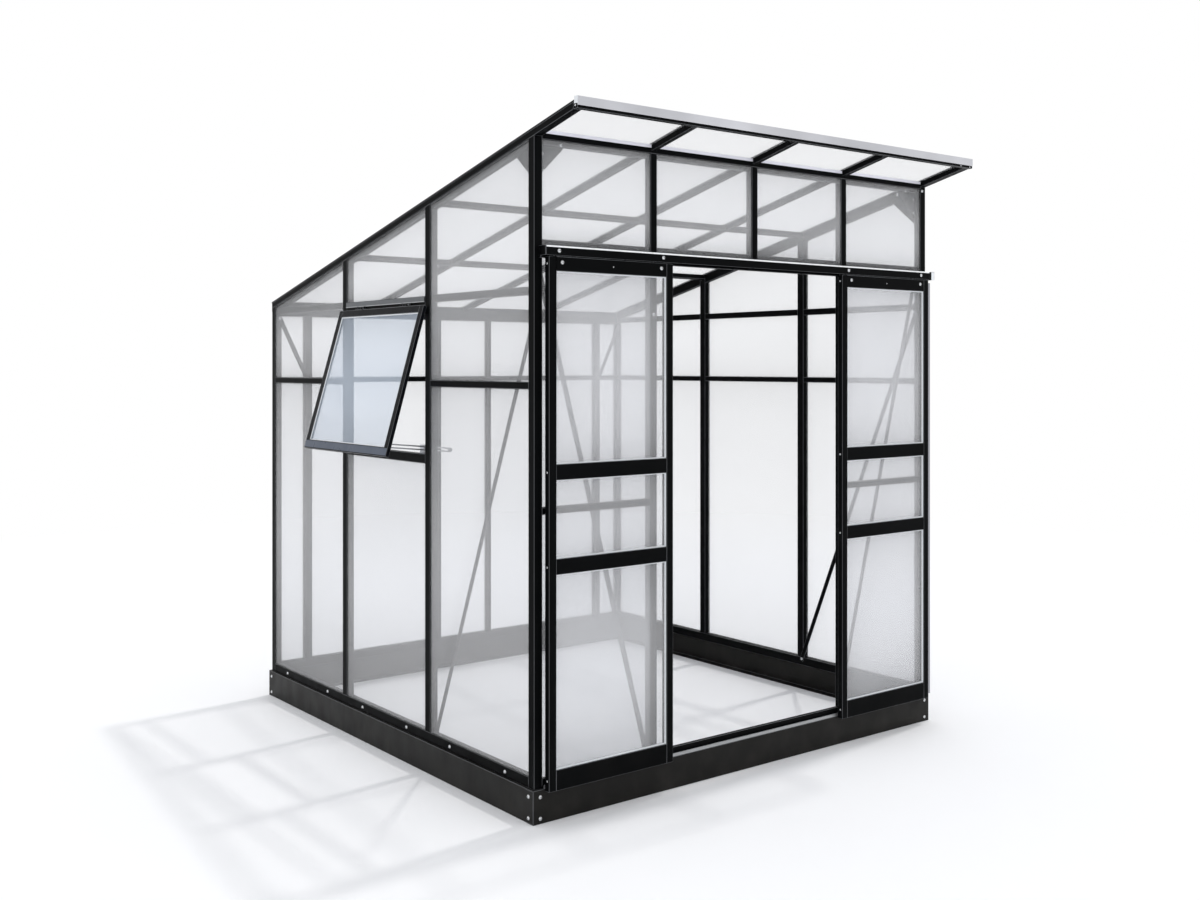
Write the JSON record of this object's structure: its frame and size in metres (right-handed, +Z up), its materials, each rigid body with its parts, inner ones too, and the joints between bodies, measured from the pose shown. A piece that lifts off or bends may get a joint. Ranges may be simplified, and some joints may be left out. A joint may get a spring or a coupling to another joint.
{
  "type": "lean-to greenhouse",
  "caption": "Walk-in greenhouse with one roof slope, black metal frame, milky twin-wall sheets, sliding doors on a hood track and a top-hung side window.",
  "frame": {"origin": "centre of the base on the ground, the centre of the four anchor holes", "axes": "+Z up, the doors face -Y, the window is in the -X wall"},
  "size_m": [2.0607, 2.185, 2.189],
  "materials": {
    "black_frame": "satin black powder coat",
    "black_base": "satin black powder coat on folded steel",
    "twin_wall_sheet": "translucent twin-wall sheet with fine vertical flutes",
    "window_sheet": "translucent twin-wall sheet",
    "zinc_bolts": "zinc plated",
    "nylon": "moulded",
    "pale_trim": "pale grey coated",
    "bare_metal": "mill finish"
  },
  "bodies": {
    "frame": {"base_rail_front": "black_base", "base_rail_rear": "black_base", "base_rail_left": "black_base", "base_rail_right": "black_base", "base_corner_angles": "black_base", "base_corner_bolts": "zinc_bolts", "wall_sills": "black_frame", "door_threshold": "black_frame", "post_front_left": "black_frame", "post_front_right": "black_frame", "post_rear_left": "black_frame", "post_rear_right": "black_frame", "side_studs": "black_frame", "rear_studs": "black_frame", "door_jambs": "black_frame", "door_header": "black_frame", "eave_beam": "black_frame", "transom_mullions": "black_frame", "rear_beam": "black_frame", "wall_mid_rails": "black_frame", "side_tie_rails": "black_frame", "window_rails": "black_frame", "front_side_rails": "black_frame", "rafters": "black_frame", "purlins": "black_frame", "roof_sheets": "twin_wall_sheet", "roof_cap_strips": "black_frame", "roof_fascia": "black_frame", "fascia_cap": "pale_trim", "rear_drip_edge": "black_frame", "wall_braces": "black_frame", "corner_gussets": "black_frame", "door_track": "black_frame", "track_end_caps": "black_frame", "side_wall_sheets": "twin_wall_sheet", "rear_wall_sheets": "twin_wall_sheet", "front_wall_sheets": "twin_wall_sheet", "frame_bolts": "zinc_bolts", "window_hinge_leaves": "black_frame", "window_hinge_pins": "zinc_bolts", "stay_peg": "pale_trim"},
    "left_door": {"left_door_frame": "black_frame", "left_door_sheets": "twin_wall_sheet", "left_door_bolts": "zinc_bolts", "left_door_guides": "nylon"},
    "left_roller_a": {"left_roller_near": "nylon"},
    "left_roller_b": {"left_roller_far": "nylon"},
    "right_door": {"right_door_frame": "black_frame", "right_door_sheets": "twin_wall_sheet", "right_door_bolts": "zinc_bolts", "right_door_guides": "nylon"},
    "right_roller_a": {"right_roller_near": "nylon"},
    "right_roller_b": {"right_roller_far": "nylon"},
    "window": {"window_sash": "black_frame", "sash_sheet": "window_sheet", "sash_hinge_leaves": "black_frame", "sash_stay_bracket": "bare_metal"},
    "stay": {"window_stay": "bare_metal"}
  },
  "joints": [
    {"name": "left_door_slide", "type": "slide", "parent": "frame", "child": "left_door", "axis": [1, 0, 0], "range_m": [0, 0.4065]},
    {"name": "right_door_slide", "type": "slide", "parent": "frame", "child": "right_door", "axis": [-1, 0, 0], "range_m": [0, 0.4165]},
    {"name": "left_roller_a_spin", "type": "hinge", "parent": "left_door", "child": "left_roller_a", "pos_m": [-0.858, -0.9805, 1.746], "axis": [0, 1, 0], "continuous": true},
    {"name": "left_roller_b_spin", "type": "hinge", "parent": "left_door", "child": "left_roller_b", "pos_m": [-0.458, -0.9805, 1.746], "axis": [0, 1, 0], "continuous": true},
    {"name": "right_roller_a_spin", "type": "hinge", "parent": "right_door", "child": "right_roller_a", "pos_m": [0.468, -0.9805, 1.746], "axis": [0, 1, 0], "continuous": true},
    {"name": "right_roller_b_spin", "type": "hinge", "parent": "right_door", "child": "right_roller_b", "pos_m": [0.868, -0.9805, 1.746], "axis": [0, 1, 0], "continuous": true},
    {"name": "window_hinge", "type": "hinge", "parent": "frame", "child": "window", "pos_m": [-0.95, 0, 1.615], "axis": [0, 1, 0], "range_deg": [-16, 10]},
    {"name": "stay_pivot", "type": "hinge", "parent": "window", "child": "stay", "pos_m": [-1.07424, -0.289, 1.12759], "axis": [0, 1, 0], "range_deg": [-6, 9]}
  ],
  "couplings": [
    {"joint": "left_roller_a_spin", "follows": "left_door_slide", "rad_per_m": 86.957},
    {"joint": "left_roller_b_spin", "follows": "left_door_slide", "rad_per_m": 86.957},
    {"joint": "right_roller_a_spin", "follows": "right_door_slide", "rad_per_m": -86.957},
    {"joint": "right_roller_b_spin", "follows": "right_door_slide", "rad_per_m": -86.957},
    {"joint": "stay_pivot", "follows": "window_hinge", "ratio": -0.5}
  ]
}
